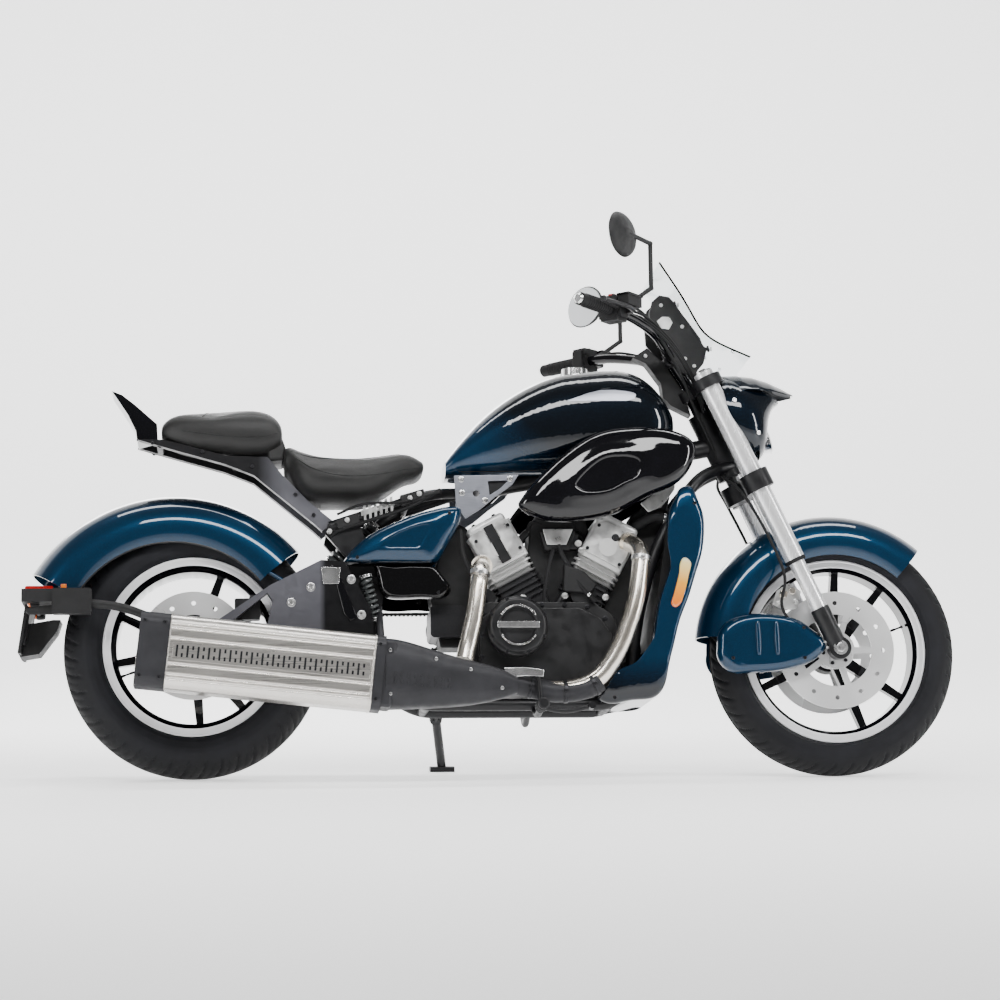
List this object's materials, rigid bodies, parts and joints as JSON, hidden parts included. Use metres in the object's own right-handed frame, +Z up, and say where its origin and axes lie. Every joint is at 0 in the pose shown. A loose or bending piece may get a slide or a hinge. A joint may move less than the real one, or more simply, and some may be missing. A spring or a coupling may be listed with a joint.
{
  "type": "cruiser motorcycle",
  "caption": "Cruiser motorcycle with a V engine, low saddle, arched fenders and a large muffler, leaning on its side stand.",
  "frame": {"origin": "centre of the footprint box on the ground", "axes": "+X forwards along the machine, +Y to the rider's left, +Z up from the ground"},
  "size_m": [2.4547, 0.9473, 1.4624],
  "materials": {
    "black_metal": "satin",
    "blue_paint": "gloss",
    "dark_shield": "matt",
    "black_plastic": "matt",
    "silver": "satin",
    "rubber": "matt",
    "steel": "machined",
    "grey_metal": "satin",
    "tyre": "matt",
    "dark_paint": "gloss",
    "header_steel": "polished",
    "lens": "clear",
    "mirror": "silvered",
    "stainless": "brushed",
    "blank_plate": "satin",
    "leather": "grained",
    "amber": "clear",
    "black_gloss": "gloss",
    "red": "clear",
    "clear": "clear"
  },
  "bodies": {
    "chassis": {"alternator_cover": "black_metal", "clutch_cover": "black_metal", "collector_shield": "dark_shield", "cylinder_front": "silver", "cylinder_rear": "silver", "drive_belt": "rubber", "engine_cases": "black_metal", "engine_fittings": "black_metal", "foot_controls": "black_metal", "frame_plates": "silver", "front_pulley": "grey_metal", "fuel_cap": "silver", "fuel_tank": "dark_paint", "headers": "header_steel", "main_frame": "black_metal", "muffler_body": "stainless", "muffler_ends": "dark_shield", "number_plate": "blank_plate", "pillion_pad": "leather", "plate_carrier": "black_plastic", "radiator": "black_metal", "radiator_cowl": "blue_paint", "rear_axle": "steel", "rear_caliper": "black_metal", "rear_fender": "blue_paint", "rear_shock": "steel", "saddle": "leather", "side_covers": "blue_paint", "side_lamps": "amber", "stand_bracket": "black_metal", "swingarm": "grey_metal", "swoop_covers": "black_gloss", "tail_fin": "black_gloss", "tail_lamp": "red", "tail_rails": "grey_metal"},
    "steering": {"fork_tubes": "silver", "fork_bottoms": "black_metal", "fork_clamps": "black_metal", "handlebar": "black_metal", "grips": "rubber", "controls_and_mirrors": "black_plastic", "mirror_glasses": "mirror", "lamp_cowl": "dark_paint", "lamp_lens": "lens", "windscreen": "clear", "instrument": "black_plastic", "front_fender": "blue_paint", "front_calipers": "black_metal", "caliper_scoops": "blue_paint", "front_axle": "steel"},
    "front_wheel": {"front_tyre": "tyre", "front_rim": "black_metal", "front_discs": "steel"},
    "rear_wheel": {"rear_tyre": "tyre", "rear_rim": "black_metal", "rear_disc": "steel", "rear_pulley": "grey_metal"},
    "side_stand": {"side_stand": "black_metal"}
  },
  "joints": [
    {"name": "steering_turn", "type": "hinge", "parent": "chassis", "child": "steering", "pos_m": [0.5628, -0.03827, 0.96158], "axis": [-0.4224, 0.1261, 0.8976], "range_deg": [-35, 35]},
    {"name": "front_wheel_spin", "type": "hinge", "parent": "steering", "child": "front_wheel", "pos_m": [0.90146, -0.12786, 0.32407], "axis": [0, 0.9903, -0.1392], "continuous": true},
    {"name": "rear_wheel_spin", "type": "hinge", "parent": "chassis", "child": "rear_wheel", "pos_m": [-0.78253, -0.12654, 0.33381], "axis": [0, 0.9903, -0.1392], "continuous": true},
    {"name": "side_stand_fold", "type": "hinge", "parent": "chassis", "child": "side_stand", "pos_m": [-0.14254, 0.00793, 0.15523], "axis": [0.0001, 0.7707, 0.6372], "range_deg": [0, 95]}
  ]
}
